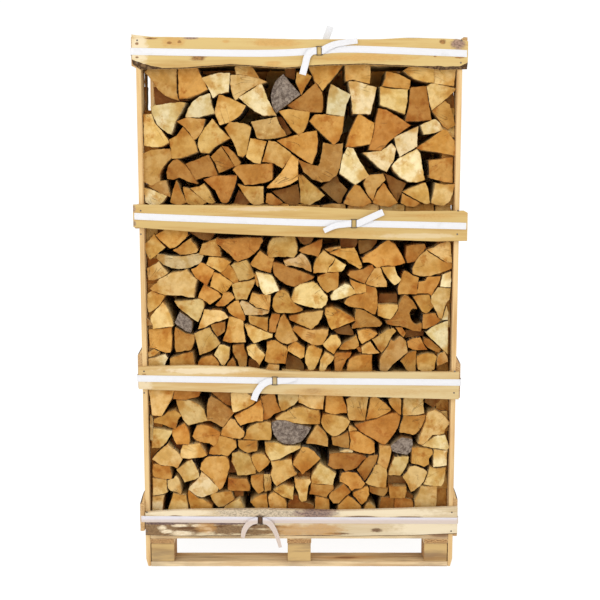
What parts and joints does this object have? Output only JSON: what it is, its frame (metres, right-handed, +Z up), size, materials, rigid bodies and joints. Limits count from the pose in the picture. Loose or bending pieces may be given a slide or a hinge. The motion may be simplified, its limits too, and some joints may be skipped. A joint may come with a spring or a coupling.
{
  "type": "crate of firewood",
  "caption": "Slatted wooden crate on a pallet, filled with stacked split ash firewood and held by white straps with wire buckles.",
  "frame": {"origin": "centre of the crate's footprint, on the ground", "axes": "+Z up, front with the log ends and buckles towards -Y, +X to the right seen from the front"},
  "size_m": [1.2498, 0.8489, 2.068],
  "materials": {
    "pallet": "weathered sawn wood",
    "posts": "sawn wood",
    "boards": "sawn wood with bark on live edges",
    "firewood": "split wood, matt",
    "strap": "woven polyester",
    "buckle": "galvanised wire"
  },
  "bodies": {
    "root": {"bottom_board_front": "pallet", "block_front_left": "pallet", "block_front_middle": "pallet", "block_front_right": "pallet", "bottom_board_middle": "pallet", "block_middle_left": "pallet", "block_middle_middle": "pallet", "block_middle_right": "pallet", "bottom_board_rear": "pallet", "block_rear_left": "pallet", "block_rear_middle": "pallet", "block_rear_right": "pallet", "stringer_left": "pallet", "stringer_middle": "pallet", "stringer_right": "pallet", "deck_board_1": "pallet", "deck_board_2": "pallet", "deck_board_3": "pallet", "deck_board_4": "pallet", "deck_board_5": "pallet", "post_left_front": "posts", "post_left_middle": "posts", "post_left_rear": "posts", "post_right_front": "posts", "post_right_middle": "posts", "post_right_rear": "posts", "front_board_1": "boards", "front_board_2": "boards", "front_board_3": "boards", "front_board_4": "boards", "rear_board_1": "boards", "rear_board_2": "boards", "rear_board_3": "boards", "rear_board_4": "boards", "side_board_left_1": "boards", "side_board_left_2": "boards", "side_board_left_3": "boards", "side_board_left_4": "boards", "side_board_right_1": "boards", "side_board_right_2": "boards", "side_board_right_3": "boards", "side_board_right_4": "boards", "wood_front_low": "firewood", "wood_front_mid": "firewood", "wood_front_top": "firewood", "wood_middle_low": "firewood", "wood_middle_mid": "firewood", "wood_middle_top": "firewood", "wood_rear_low": "firewood", "wood_rear_mid": "firewood", "wood_rear_top": "firewood", "strap_1": "strap", "strap_2": "strap", "strap_3": "strap", "strap_4": "strap", "buckle_1": "buckle", "buckle_2": "buckle", "buckle_3": "buckle", "buckle_4": "buckle", "strap_loose_end": "strap"}
  },
  "joints": []
}
